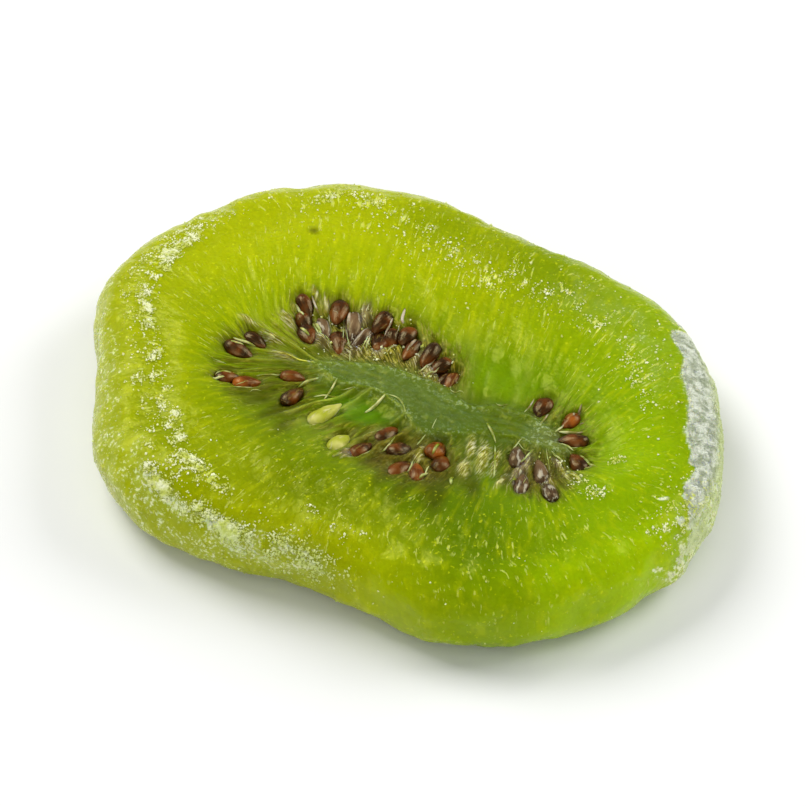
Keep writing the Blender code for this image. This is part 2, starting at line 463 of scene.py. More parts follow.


# Lines round the skin, as (direction in degrees, way): where the white crust and the dust on the
# left begin, and where lines of dust and of grains run; the lines of grains also carry painted glints.
CRUST_EDGE = (
    (2, 3.10), (14, 3.03), (26, 3.08), (36, 3.20), (43, 4.3), (338, 4.4), (346, 3.85), (351, 3.45),
    (355, 3.22),
)
LEFT_EDGE = (
    (150, 3.6), (191, 3.38), (203, 3.25), (217, 3.27), (223, 3.16), (231, 3.33), (236, 3.56), (256, 3.8),
)
LOW_DUST = ((228, 3.36), (238, 3.56), (256, 3.75))
LOW_GRAINS = ((228, 3.33), (237, 3.52), (245, 3.60), (256, 3.73))
LEFT_GRAINS = ((158, 3.15), (175, 3.07), (193, 3.03), (207, 2.93), (220, 2.85), (234, 3.05), (242, 3.2))
FAR_GRAINS = (
    (34, 2.65), (47, 2.65), (61, 2.82), (84, 2.62), (97, 2.78), (108, 2.8), (120, 3.0), (135, 3.1),
)

# Patches on the rim: ((direction, degrees at full strength, degrees at which they end), way, half
# width, strength).
DUST_PATCHES = (((264, 4, 20), 3.85, 0.28, 0.40), ((42, 16, 32), 2.88, 0.28, 0.10))
GRAIN_PATCHES = (
    ((265, 5, 21), 3.78, 0.2, 1.8),
    ((275, 6, 11), 3.2, 0.08, 1.6),
    ((351, 5, 10), 3.5, 0.25, 1.2),
)

# Small heaps of sugar at the right end of the seed ring: (x, y) in millimetres.
SUGARED_PLACES, SUGARED_RADIUS = ((15.5, -5.0), (16.4, -5.6), (17.5, -5.7), (17.2, -2.2)), 0.45 * MM

# Where the flesh is darker and greener (strength above 0) or paler and yellower (below 0) than the
# rest: (x, y, radius, strength) in millimetres. The pale places near the right and lower rim are
# painted light: the glow of the thin rim with light passing through it.
CLOUDS_AND_GLOW = (
    (10.0, -11.6, 4.2, 0.75), (13.0, -15.5, 3.0, 0.35), (5.4, -10.2, 2.8, 0.8), (-7.5, -7.0, 3.2, 0.5),
    (1.0, -11.5, 4.0, 0.35), (18.2, -1.5, 4.2, -0.75), (18.8, -7.8, 3.0, -0.4), (22.5, -9.5, 3.8, -0.8),
    (4.0, 14.5, 5.0, 0.65), (-17.0, 0.0, 4.0, 0.25), (-4.6, -9.5, 3.0, 0.4), (6.0, -17.5, 3.0, -0.3),
    (8.0, 11.2, 3.5, 0.3), (-3.9, 14.9, 4.0, 0.5), (12.4, 11.3, 3.5, 0.25), (-1.5, -12.5, 3.5, 0.35),
    (17.5, -14.0, 3.0, -0.6), (-10.5, 0.5, 2.5, -0.35),
)


def way_of(line, angle):
    return np.interp(np.degrees(angle) % 360, *zip(*line))


def rim_patches(patches, way, angle):
    return sum(
        strength * facing(angle, *arc) * bell(way, middle, half_width)
        for arc, middle, half_width, strength in patches
    )


def frost_at(points, way, angle):
    """How thickly fine sugar dusts the skin: a crust on the right of the rim, thin elsewhere."""
    wobble = 0.04 * ripples(points, 3 * MM, 42) + 0.012 * ripples(points, 0.9 * MM, 45)
    ragged = 0.3 * ripples(points, 1.3 * MM, 47) + 0.16 * ripples(points, 0.5 * MM, 48)
    crust_from = way_of(CRUST_EDGE, angle)
    past_edge = way + wobble + ragged * smooth_step(3.15, 3.7, crust_from) - crust_from
    spread = facing(angle, 14, 24, 44) * (1 - smooth_step(3.8, 4.9, way))
    spread += 0.2 * ripples(points, 1.1 * MM, 46)
    bare = (0.3 + 0.2 * ripples(points, 1.7 * MM, 49)) * smooth_step(3.4, 3.75, way)
    crust = smooth_step(0, 0.08, past_edge) * smooth_step(0.25, 0.65, spread) * (1 - bare)

    past_edge = way + wobble - way_of(LEFT_EDGE, angle)
    dust = 0.19 * facing(angle, 200, 36, 60) * smooth_step(0, 0.12, past_edge)
    dust += 0.40 * facing(angle, 243, 10, 17) * bell(way, way_of(LOW_DUST, angle), 0.10)
    dust += 0.06 * smooth_step(3.3, 4.0, way) * (1 - 0.8 * facing(angle, 300, 34, 50))
    dust += 0.08 * smooth_step(3.1, 3.6, way) * facing(angle, 100, 40, 75)
    dust += rim_patches(DUST_PATCHES, way, angle)
    patches = 0.5 + 0.4 * ripples(points, 1.3 * MM, 41)
    return np.clip(crust * (0.9 + 0.2 * patches) + dust * (0.4 + patches), 0, 1)


def sparkle_at(points, way, angle):
    """How brightly glints are painted on the skin, and how thickly grains of sugar lie on it."""
    left_line, far_line = way_of(LEFT_GRAINS, angle), way_of(FAR_GRAINS, angle)
    lines = 3.6 * bell(way, left_line, 0.07) + 1.0 * bell(way, left_line + 0.20, 0.06)
    lines *= facing(angle, 199, 40, 52)
    far = 1.1 * bell(way, far_line, 0.10) + 0.4 * bell(way, far_line, 0.3)
    far *= facing(angle, 78, 52, 68)
    lower_right = 0.45 * facing(angle, 318, 12, 26) * bell(way, 3.0, 0.4)
    heaps = 15.0 * facing(angle, 244, 10, 15) * bell(way, way_of(LOW_GRAINS, angle), 0.08)
    heaps += rim_patches(GRAIN_PATCHES, way, angle)
    places = points[:, :2]
    heaps += 0.2 * husks_at(places) * seed_zone(way) * (points[:, 1] > -4 * MM)
    for place in np.array(SUGARED_PLACES) * MM:
        heaps += 1.6 * bell(apart(places, place), 0, SUGARED_RADIUS) * (way < RIM_MIDDLE)
    thin = 0.014 * smooth_step(2.8, 3.2, way) + 0.006 * smooth_step(2.1, 2.6, way)
    thin *= 1 - 0.7 * facing(angle, 315, 30, 60)
    clumps = smooth_step(0.0, 1.1, ripples(points, 0.9 * MM, 43))
    clumps += 0.5 * smooth_step(0.4, 1.2, ripples(points, 3 * MM, 44))
    painted_glints = np.clip((lines + far + lower_right) * (0.3 + clumps), 0, 2)
    grains = np.clip((lines + heaps + 0.3 * far + thin) * (0.04 + clumps), 0, 8)
    return painted_glints, grains * (1 - smooth_step(RIM_MIDDLE, FOOT, way))


def clouds_and_glow(points):
    """0.5 on plain flesh, more where it is darker and greener, less where it is paler and yellower; the
    pale places near the right and lower rim are painted glow.
    """
    total = np.full(len(points), 0.5)
    for x, y, radius, strength in CLOUDS_AND_GLOW:
        away = apart(points[:, :2], (x * MM, y * MM))
        total += 0.5 * strength * bell(away, 0, radius * MM)
    return np.clip(total, 0, 1)


def dye(red, green, blue):
    """A colour as seen, 0 to 255 each for red, green and blue, in the renderer's own scale."""
    seen = np.array([red, green, blue]) / 255
    return (*np.where(seen <= 0.04045, seen / 12.92, ((seen + 0.055) / 1.055) ** 2.4), 1.0)


class Varying:
    """A value that varies over a surface: a shader node's output, which arithmetic can be done on."""

    def __init__(self, finish, socket):
        self.finish, self.socket = finish, socket

    def maths(self, operation, first, second):
        return self.finish.node("Math", {"operation": operation}, {0: first, 1: second})

    def __add__(self, other):
        return self.maths("ADD", self, other)

    def __sub__(self, other):
        return self.maths("SUBTRACT", self, other)

    def __rsub__(self, other):
        return self.maths("SUBTRACT", other, self)

    def __mul__(self, other):
        return self.maths("MULTIPLY", self, other)

    __radd__ = __add__
    __rmul__ = __mul__


class Finish:
    """A surface finish in the making: one shader, and the nodes that feed it."""

    def __init__(self, name, **constants):
        self.material = bpy.data.materials.new(name)
        self.material.use_nodes = True
        self.tree = self.material.node_tree
        self.shader = self.tree.nodes["Principled BSDF"]
        self.surface(**constants)

    def feed(self, socket, value):
        if isinstance(value, Varying):
            self.tree.links.new(value.socket, socket)
        else:
            socket.default_value = value

    def node(self, kind, settings, sockets, out=0):
        """Adds a shader node, makes its settings, fills its sockets, and gives one output."""
        made = self.tree.nodes.new("ShaderNode" + kind)
        for name, value in settings.items():
            if name != "stops":
                setattr(made, name, value)
                continue
            elements = made.color_ramp.elements
            while len(elements) < len(value):
                elements.new(0.5)
            for element, (position, colour) in zip(elements, value):
                element.position, element.color = position, colour
        for name, value in sockets.items():
            self.feed(made.inputs[name], value)
        return Varying(self, made.outputs[out])

    def place(self):
        return self.node("TexCoord", {}, {}, "Object")

    def stored(self, name, out="Fac"):
        return self.node("Attribute", {"attribute_name": name}, {}, out)

    def noise(self, where, wavelength, detail=2.0, roughness=0.5):
        sockets = {"Vector": where, "Scale": 1 / wavelength, "Detail": detail, "Roughness": roughness}
        return self.node("TexNoise", {}, sockets)

    def between(self, value, low, high):
        """0 where the value is below low, 1 above high, smooth between."""
        sockets = {"Value": value, "From Min": low, "From Max": high}
        return self.node("MapRange", {"interpolation_type": "SMOOTHSTEP"}, sockets)

    def blend(self, amount, first, second, how="MIX"):
        """A colour blended from two."""
        settings = {"data_type": "RGBA", "blend_type": how}
        return self.node("Mix", settings, {0: amount, 6: first, 7: second}, 2)

    def layers(self, colour, *layers):
        """A colour with others laid over it in turn, each given as (how much, colour)."""
        for amount, over in layers:
            colour = self.blend(amount, colour, over)
        return colour

    def how_far(self, place, direction):
        """How many millimetres a place lies in a direction."""
        sockets = {0: place, 1: tuple(part / MM for part in direction)}
        return self.node("VectorMath", {"operation": "DOT_PRODUCT"}, sockets, "Value")

    def bumps(self, height, depth):
        return self.node("Bump", {}, {"Strength": 1.0, "Distance": depth, "Height": height})

    def surface(self, **values):
        for socket, value in values.items():
            self.feed(self.shader.inputs[socket.replace("_", " ")], value)
        return self.material


def flesh_finish():
    """Clear green jelly: yellow at the rim, deeper green inside, olive among the seeds."""
    jelly = Finish(
        "candied_flesh",
        Subsurface_Weight=1.0,
        Subsurface_Radius=(1.0, 0.8, 0.12),
        Subsurface_Scale=2.4 * MM,
        Specular_IOR_Level=0.28,
        Specular_Tint=(1.0, 1.0, 0.05, 1),
    )
    between, blend, layers = jelly.between, jelly.blend, jelly.layers
    noise, stored, place = jelly.noise, jelly.stored, jelly.place()
    reach, depth = stored("reach"), stored("depth")
    frost, sparkle = stored("frost"), stored("sparkle")
    husks, strips = stored("husks"), stored("strips")
    to_the_right = jelly.how_far(place, (1, 0, 0))
    far = jelly.how_far(place, (-0.25, 0.97, 0))

    spokes = stored("rays", "Vector")
    rays = noise(spokes, 0.03, detail=3)
    fine_rays = noise(spokes, 0.013)
    patches = noise(place, 2.2 * MM, detail=3)
    coarse = noise(place, 0.9 * MM)
    streaks = noise(place, 0.3 * MM)
    grains = noise(place, 0.26 * MM, roughness=0.6)
    dots = noise(place, 0.30 * MM, detail=1)
    lengthways = jelly.node("VectorMath", {"operation": "MULTIPLY"}, {0: place, 1: (0.35, 1.0, 1.0)})
    hairs = noise(lengthways, 0.45 * MM, detail=3)

    # From the core out to the rim, darker or paler in patches, greener to the right and darker near.
    uneven_reach = reach + (rays - 0.5) * 0.6 + (patches - 0.5) * 0.4
    stops = (
        (0.00, dye(98, 118, 50)),
        (0.19, dye(96, 118, 42)),
        (0.28, dye(94, 112, 16)),
        (0.36, dye(106, 124, 8)),
        (0.47, dye(128, 152, 1)),
        (0.56, dye(158, 174, 1)),
        (0.68, dye(174, 184, 1)),
        (0.76, dye(166, 176, 2)),
        (1.00, dye(164, 172, 4)),
    )
    colour = jelly.node("ValToRGB", {"stops": stops}, {"Fac": uneven_reach * 0.25})
    # Darker green and paler yellow in patches, as stored in depth; the pale patches near the right and
    # lower rim are painted glow.
    colour = layers(
        colour,
        (between(depth, 0.46, 1.0), dye(122, 144, 1)),
        (between(0.54 - depth, 0.0, 0.5) * 0.8, dye(200, 210, 6)),
    )
    # Greener to the right and darker towards the near side: partly the flesh's own tone, partly painted
    # light, brighter at the far left where light shines through and painted shade on the near side.
    greener, shaded = (0.74, 0.96, 1.0, 1), dye(150, 172, 110)
    colour = blend(between(to_the_right, 0, 17), colour, greener, "MULTIPLY")
    near = (1 - between(far, -16, 14)) * (0.55 - 0.42 * between(reach, 2.9, 3.5))
    colour = blend(near, colour, shaded, "MULTIPLY")

    # Brown and straw-coloured strands among the seeds, and paler rays and painted glints beyond them.
    in_ring = between(reach, 0.85, 1.15) * between(stored("near_seeds"), 0.12, 0.8)
    straw = blend(between(far, 0.5, 2.5), dye(168, 164, 60), dye(166, 152, 74))
    beyond = between(reach, 1.7, 2.2)
    painted_glints = between(fine_rays + sparkle * 0.07, 0.61, 0.70) * beyond
    painted_glints = painted_glints * between(patches, 0.38, 0.56)
    colour = layers(
        colour,
        ((1 - between(rays, 0.40, 0.56)) * in_ring * 0.62, dye(74, 62, 8)),
        (between(fine_rays, 0.54, 0.68) * in_ring * 0.6, straw),
        (between(rays, 0.5, 0.72) * beyond * 0.25, dye(204, 210, 10)),
        (painted_glints * (0.45 + sparkle * 0.4), dye(230, 236, 120)),
    )

    # The core, olive to the right and bubbly along its edge and at its end. Then the clear places of
    # the ring, the painted shade round the seeds, and the walls between their cells.
    in_core = 1 - between(reach + (patches - 0.5) * 0.5, 0.80, 1.15)
    core_rim = in_core * between(reach, 0.35, 0.85)
    olive = between(to_the_right, 5, 8) * (1 - between(to_the_right, 9.4, 10.6))
    bubbly_end = in_core * between(to_the_right, 9.8, 11)
    # Pale beads on the core: pale granules, with painted glints on them.
    pale_beads_and_glints = between(grains, 0.50, 0.66) * (1 - 0.7 * olive)
    walls = stored("cell_wall") * between(patches, 0.35, 0.6)
    colour = layers(
        colour,
        (in_core * olive * 0.9, dye(84, 104, 8)),
        (between(hairs, 0.45, 0.7) * in_core * 0.2, dye(128, 150, 88)),
        (bubbly_end * 0.7, dye(112, 126, 66)),
        (pale_beads_and_glints * (in_core * 0.12 + core_rim * 0.5 + bubbly_end * 0.6), dye(160, 178, 128)),
        (stored("pocket") * 0.9, dye(84, 128, 1)),
        (stored("bare") * (1 - in_core) * 0.85, dye(116, 150, 1)),
        (stored("seed_shade") * 0.92, dye(54, 46, 5)),
        (walls * 0.35, dye(172, 176, 84)),
    )

    # Brown husks between crowded seeds, and strips of tissue, some purplish and some beige, with
    # painted highlights as pale streaks on the strips.
    far_husks = husks * between(far, -6, 0)
    beige_part = between(to_the_right, 2, 3.5) * (1 - between(to_the_right, 10.2, 10.8))
    beige_part = beige_part + (1 - between(to_the_right, -9, -6)) * 0.6
    beige_part = beige_part + between(to_the_right, 13.4, 14)
    purple = blend(between(patches, 0.40, 0.60), dye(82, 62, 42), dye(130, 112, 96))
    beige = blend(between(fine_rays, 0.42, 0.58), dye(116, 110, 26), dye(196, 192, 128))
    colour = layers(
        colour,
        (husks * 0.8, dye(72, 56, 14)),
        (between(fine_rays, 0.48, 0.60) * (far_husks * 0.7 + husks * 0.15), dye(176, 162, 66)),
        (between(streaks, 0.60, 0.68) * (far_husks * 0.5 + husks * 0.1), dye(208, 200, 132)),
        (strips * 0.85, blend(beige_part, purple, beige)),
        (between(fine_rays, 0.55, 0.65) * strips * 0.7, dye(226, 223, 188)),
    )

    # A fine mottling all over, painted glints as yellow specks outside the seed ring, then sugar:
    # yellowish low on the rim, white in the crust.
    glint_specks = between(dots + sparkle * 0.05, 0.66, 0.76) * between(reach, 1.9, 2.4)
    white_crust = between(to_the_right, 0, 10) * (1 - between(reach, 3.4, 3.75))
    sugary = blend(white_crust, dye(192, 204, 106), dye(202, 208, 186))
    dusting = between(grains + frost * 0.36, 0.60, 0.80) * between(frost, 0.02, 0.22)
    # Painted shade in the gaps between the grains of the crust.
    painted_gap_shade = (1 - between(grains, 0.38, 0.50)) * between(frost, 0.5, 0.9)
    colour = layers(
        colour,
        ((1 - between(grains, 0.3, 0.7)) * 0.14, dye(96, 112, 1)),
        (glint_specks * 0.45, dye(216, 222, 30)),
        (between(frost, 0.0, 0.9) * 0.94, sugary),
        (dusting * 0.8, dye(232, 238, 200)),
        (painted_gap_shade * 0.5, dye(138, 150, 118)),
    )

    height = coarse * (1.2 - frost) + grains * (0.25 + frost * 0.8 + core_rim * 0.6 + bubbly_end)
    height = height + painted_glints * 0.5 + rays * 0.35 + fine_rays * (in_ring + strips) + streaks * husks * 0.6
    return jelly.surface(
        Base_Color=colour,
        Roughness=0.16 + 0.2 * patches + 0.35 * dusting,
        Normal=jelly.bumps(height, 0.09 * MM),
    )


flesh = build_flesh()
flesh.data.materials.append(flesh_finish())
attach(flesh, "root")
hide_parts("slice")


# ---------------------------------------------------------------- the seeds
# Hard, glossy seeds, flattened teardrops with their points towards the core. Ripe ones are dark
# brown, half-ripe ones russet, and a few empty ones stayed pale. Syrup holds them in their pits.

SEED_AROUND, SEED_RINGS_ALONG = 20, 15
SEED_SEAT, SEED_RISE = 0.12 * MM, 0.34
GRAIN_RUN = (0.25, 1.0, 1.0)
FLOOR_GAP = 0.02 * MM


def tube_faces(rings, around):
    """Quads that join the rings of a tube whose two end rings are shrunk to points."""
    numbers = np.arange(rings * around).reshape(rings, around)
    numbers[0], numbers[-1] = numbers[0, 0], numbers[-1, 0]
    return between_rings(numbers)[:, [0, 3, 2, 1]]


def joined(name, copies, faces, grain=None):
    """One object from copies of a set of faces, each copy with corners of its own."""
    copies = np.array(copies)
    corners = copies.reshape(len(copies), -1, 3)
    shifts = np.arange(len(copies))[:, None, None] * corners.shape[1]
    made, used = mesh_object(name, corners.reshape(-1, 3), (faces + shifts).reshape(-1, 4))
    if grain is not None:
        store_vectors(made.data, "grain", np.array(grain).reshape(-1, 3)[used])
    return made


def seed_shape(length, width, depth):
    """Corners of a flattened teardrop with its point towards -X."""
    along = -np.cos(np.linspace(0, math.pi, SEED_RINGS_ALONG))
    plump = np.sqrt(np.clip(1 - along**2, 0, 1)) * (1 + 0.30 * along) * (1 - 0.12 * (along < 0) * along**2)
    around = np.arange(SEED_AROUND) / SEED_AROUND * math.tau
    x = np.repeat(along[:, None], SEED_AROUND, 1) * length / 2
    y = plump[:, None] * np.cos(around) * width / 2
    z = plump[:, None] * np.sin(around) * depth / 2
    return np.stack([x, y, z], -1).reshape(-1, 3)


def tree_of(*things):
    """A search tree of several meshes, to find where a straight line meets them."""
    points, faces = [], []
    for thing in things:
        start = len(points)
        points += [v.co for v in thing.data.vertices]
        faces += [[start + corner for corner in face.vertices] for face in thing.data.polygons]
    return BVHTree.FromPolygons(points, faces)


def on_skin(tree, place, upper):
    """The point of the face above or below a place, and the way the face looks there."""
    start = Vector((*place, 20 * MM if upper else -20 * MM))
    point, normal, _, _ = tree.ray_cast(start, Vector((0, 0, -1 if upper else 1)))
    return point, normal


def seed_corners(laid, draw):
    """The corners of one seed, set in its pit, and where they lie in its grain."""
    _, upper, place, heading, (length, width), height = laid
    corners = seed_shape(length, width, SEED_DEPTH)
    shift = draw.uniform(0, 50, 3)
    grain = corners * GRAIN_RUN + shift * MM
    corners = corners * (1 + 0.04 * ripples(corners / MM + shift, 0.9, 44)[:, None])
    point, normal = on_skin(skin, place, upper)
    level = Vector((0, 0, 1 if upper else -1))
    up = (normal * 0.3 + level * 0.7 + Vector(draw.normal(0, 0.16, 3))).normalized()
    rise = draw.uniform(0, SEED_RISE) * level.z
    ahead = Vector((math.cos(heading), math.sin(heading), rise))
    ahead = (ahead - up * ahead.dot(up)).normalized()
    turn = np.array(Matrix((ahead, up.cross(ahead), up)))
    corners = corners @ turn + np.array(point + up * (SEED_SEAT + height))
    corners[:, 2] += max(0, FLOOR_GAP - corners[:, 2].min())
    return corners, grain


def seed_finish(name, dark, light, film, coverage, gloss):
    shell = Finish(name, Specular_IOR_Level=0.5, Specular_Tint=(1.0, 0.82, 0.4, 1))
    grain = shell.stored("grain", "Vector")
    patches = shell.noise(shell.place(), 1.3 * MM)
    pits = shell.noise(grain, 0.14 * MM)
    smears = shell.noise(grain, 0.30 * MM, detail=3)
    syrup = shell.between(smears, 0.64 - 0.15 * coverage, 0.72 - 0.15 * coverage)
    colour = shell.layers(
        dark,
        (shell.between(patches, 0.40, 0.68), light),
        (shell.between(pits, 0.5, 0.75) * 0.35, light),
        (syrup * coverage, film),
    )
    bump = shell.bumps(pits + syrup, 0.04 * MM)
    return shell.surface(Base_Color=colour, Roughness=gloss + 0.2 * patches, Normal=bump)


# (kind, slot, its dark and light shell, the film of syrup on it, how much the film covers, roughness)
SEED_KINDS = (
    ("ripe", "seed", dye(42, 19, 2), dye(112, 56, 9), dye(156, 132, 56), 0.3, 0.16),
    ("filmed", "seed", dye(62, 42, 26), dye(112, 86, 58), dye(192, 184, 162), 0.7, 0.14),
    ("russet", "seed", dye(88, 38, 3), dye(160, 84, 18), dye(190, 148, 70), 0.3, 0.18),
    ("unripe", "unripe_seed", dye(166, 172, 40), dye(198, 196, 104), dye(216, 213, 154), 0.55, 0.24),
)
skin = tree_of(flesh)
seed_pieces = []
draw = np.random.default_rng(51)
for kind, slot, dark, light, film, coverage, gloss in SEED_KINDS:
    copies, grain = zip(*(seed_corners(laid, draw) for laid in seeds if laid[0] == kind))
    piece = joined("seeds_" + kind, copies, tube_faces(SEED_RINGS_ALONG, SEED_AROUND), grain)
    piece.data.materials.append(seed_finish(kind + "_seed_shell", dark, light, film, coverage, gloss))
    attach(piece, "root")
    seed_pieces.append(piece)


# ---------------------------------------------------------------- the pale fibres
# Edges of the thin cells that held the seeds, left standing when the flesh between them shrank.
# They fan out from the core between the seeds, and are grown into the flesh at their feet.

FIBRE_STEPS, FIBRE_SIDES = 12, 6
FIBRE_HALF_WIDTHS = (0.03 * MM, 0.05 * MM, 0.08 * MM, 0.12 * MM)
FIBRE_SWING = 0.08
EDGE_FIBRES, EDGE_HALF_WIDTH = 10, 0.035 * MM
SHARES = np.linspace(0, 1, FIBRE_STEPS)

# Fibres that fan out over the ring: (count, start, length, whether they may lie far from seeds).
# The many short ones stand behind the seeds like lashes.
FANS = ((5, (0.95, 1.5), (0.2, 0.55), True), (50, (1.7, 2.0), (0.08, 0.2), False))

# Membranes at the empty cell and at the right end of the ring: (half width, places they pass
# through), in millimetres.
MEMBRANES = (
    (0.13, ((-1.2, -4.1), (-0.9, -3.5), (-0.6, -2.9), (-0.3, -2.2))),
    (0.07, ((-0.2, -2.3), (0.4, -2.2), (1.0, -2.5), (1.6, -3.2), (2.0, -4.1))),
    (0.07, ((-5.0, -4.4), (-4.4, -3.8), (-3.6, -3.5))),
    (0.10, ((7.2, -1.9), (7.8, -2.5), (8.6, -3.4))),
    (0.11, ((14.2, -2.0), (15.2, -2.6), (16.2, -3.3))),
    (0.08, ((8.6, -3.6), (9.3, -5.2), (9.9, -6.8))),
)


def thread(path, half_width, half_height):
    """Corners of a thread along a path, drawn out to points at both ends."""
    ahead = unit(np.gradient(path, axis=0))
    aside = unit(np.cross([0, 0, 1.0], ahead))
    above = np.cross(ahead, aside)
    around = (np.arange(FIBRE_SIDES) / FIBRE_SIDES * math.tau)[None, :, None]
    taper = np.sqrt(np.clip(np.sin(np.linspace(0, math.pi, len(path))), 0, 1))[:, None, None]
    ring = half_width * np.cos(around) * aside[:, None] + half_height * np.sin(around) * above[:, None]
    return path[:, None] + ring * taper


def laid_thread(places, upper, draw, half_width=None):
    """A thread laid along places on skin and seeds, its middle a little higher than its ends."""
    lift = draw.uniform(-0.02, 0.07) * MM
    path = []
    for place, rise in zip(places, np.sin(np.linspace(0, math.pi, len(places)))):
        point, normal = on_skin(covered, place, upper)
        path.append(np.array(point + normal * (lift * rise)))
    path = np.array(path)
    for _ in range(2):
        path[1:-1] = (path[:-2] + 2 * path[1:-1] + path[2:]) / 4
    half_width = half_width or draw.choice(FIBRE_HALF_WIDTHS, p=[0.3, 0.3, 0.25, 0.15])
    half_height = half_width * draw.uniform(0.6, 1.1)
    path[:, 2] = np.maximum(path[:, 2], 2 * half_height)
    return thread(path, half_width, half_height)


def beside_seed(laid, side, draw):
    """Places along one side of a seed, from the core's edge to somewhere beside the seed."""
    _, _, place, _, (length, width), _ = laid
    heading = seed_heading(place) + draw.normal(0, FIBRE_SWING)
    first = draw.uniform(0, 0.55)
    last = first + draw.uniform(0.25, 0.45)
    share = np.linspace(first, last, FIBRE_STEPS)
    along = length * (-1.2 + 1.9 * share)
    across = side * width * (0.34 + 0.26 * share)
    across += 0.04 * MM * np.sin(share * draw.uniform(3, 6) + draw.uniform(0, 6))
    ahead = np.array([math.cos(heading), math.sin(heading)])
    aside = np.array([-ahead[1], ahead[0]])
    return place + along[:, None] * ahead + across[:, None] * aside


def on_spokes(reaches, turns):
    """Places at the given reaches, each on the spoke of its turn."""
    spokes = turns.round().astype(int) % SPOKES
    return np.array([face_plan(reach)[spoke] for reach, spoke in zip(reaches, spokes)])


def outwards(first, length, draw):
    """Places running outwards over the seed ring, a little bent."""
    spoke, sway, bow = draw.integers(SPOKES), draw.normal(0, 1.2), draw.normal(0, 0.5)
    return on_spokes(first + length * SHARES, spoke + sway * SHARES + bow * np.sin(math.pi * SHARES))


def along_core(draw):
    spoke, spokes, way = draw.integers(SPOKES), draw.uniform(6, 20), draw.uniform(0.86, 1.12)
    return on_spokes(way + 0.05 * np.sin(SHARES * 5 + draw.uniform(0, 6)), spoke + spokes * SHARES)


def through(places):
    """Evenly spaced places along a smooth line through a few of them."""
    places = np.array(places) * MM
    share = np.linspace(0, 1, len(places))
    return np.stack([np.interp(SHARES, share, axis) for axis in places.T], -1)


def fibre_finish():
    tissue = Finish("pale_fibre", Specular_IOR_Level=0.5, Subsurface_Weight=0.3, Subsurface_Scale=0.5 * MM)
    place = tissue.place()
    patches = tissue.noise(place, 0.9 * MM)
    on_far_side = tissue.between(tissue.how_far(place, (0.15, 0.97, 0)), 0.8, 2.5)
    pale = tissue.blend(on_far_side, dye(206, 208, 132), dye(192, 178, 152))
    dull = tissue.blend(on_far_side, dye(128, 140, 22), dye(126, 106, 62))
    colour = tissue.blend(tissue.between(patches, 0.40, 0.62), dull, pale)
    return tissue.surface(Base_Color=colour, Roughness=0.2 + 0.2 * patches)


covered = tree_of(flesh, *seed_pieces)
draw = np.random.default_rng(61)
copies = []
for laid in seeds:
    for side in (-1.1, 1.1):
        if draw.random() < 0.5:
            copies.append(laid_thread(beside_seed(laid, side, draw), laid[1], draw))
for count, starts, lengths, anywhere in FANS:
    for number in range(count):
        places = outwards(draw.uniform(*starts), draw.uniform(*lengths), draw)
        near = min(apart(places[0], seed[2]) for seed in seeds) < NEAR_SEED
        if (anywhere or near) and patch_at(places[0], *BARE) < 0.3:
            copies.append(laid_thread(places, number % 3 > 0, draw))
for number in range(EDGE_FIBRES):
    copies.append(laid_thread(along_core(draw), number % 3 > 0, draw, EDGE_HALF_WIDTH))
for half_width, places in MEMBRANES:
    copies.append(laid_thread(through(places), True, draw, half_width * MM))
fibres = joined("fibres", copies, tube_faces(FIBRE_STEPS, FIBRE_SIDES))
fibres.data.materials.append(fibre_finish())
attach(fibres, "root")


# ---------------------------------------------------------------- the sugar
# Sugar that came out of the syrup as it dried: small clear grains stuck to the skin. They lie
# scattered over the flesh, in lines along the shoulder, and as a white crust on the right.

GRAIN_SIZE, CRUST_GRAIN_SIZE = 0.12 * MM, 0.095 * MM
GRAIN_CORNERS = np.array([(1, 0, 0), (0, 1, 0), (-1, 0, 0), (0, -1, 0), (0, 0, 1), (0, 0, -1)], float)
UPPER_HALF = [(i, (i + 1) % 4, 4, 4) for i in range(4)]
LOWER_HALF = [((i + 1) % 4, i, 5, 5) for i in range(4)]
GRAIN_FACES = np.array(UPPER_HALF + LOWER_HALF)
GRAIN_SPREAD, LOWEST_GRAIN, LARGEST_GRAIN = 0.10 * MM, 0.35 * MM, 1.9


def face_values(mesh, name):
    """The mean of a stored value over the corners of each face."""
    values = read(mesh.attributes[name].data, "value")
    corners = read(mesh.loops, "vertex_index", kind=int)
    starts = read(mesh.polygons, "loop_start", kind=int)
    return np.add.reduceat(values[corners], starts) / np.diff(np.append(starts, len(corners)))


def grain_corners(count, density, size, draw):
    """Corners of rough little blocks strewn over the skin as thickly as density says."""
    faces = flesh.data.polygons
    centres, normals = read(faces, "center", 3), read(faces, "normal", 3)
    chance = read(faces, "area") * density * (centres[:, 2] > LOWEST_GRAIN)
    chosen = draw.choice(len(chance), count, p=chance / chance.sum())
    sizes = size * np.minimum(np.exp(draw.normal(-0.1, 0.45, count)), LARGEST_GRAIN)
    spread = draw.normal(0, GRAIN_SPREAD, (count, 3))
    spread -= normals[chosen] * (spread * normals[chosen]).sum(-1, keepdims=True)
    middles = centres[chosen] + spread + normals[chosen] * (sizes * 0.05)[:, None]
    turns = np.linalg.qr(draw.normal(size=(count, 3, 3)))[0]
    blocks = GRAIN_CORNERS * draw.uniform(0.7, 1.3, (count, 6, 1)) * draw.uniform(0.7, 1.3, (count, 1, 3))
    blocks = np.einsum("gij,gcj->gci", turns, blocks) * (sizes / 2)[:, None, None]
    return blocks + middles[:, None]


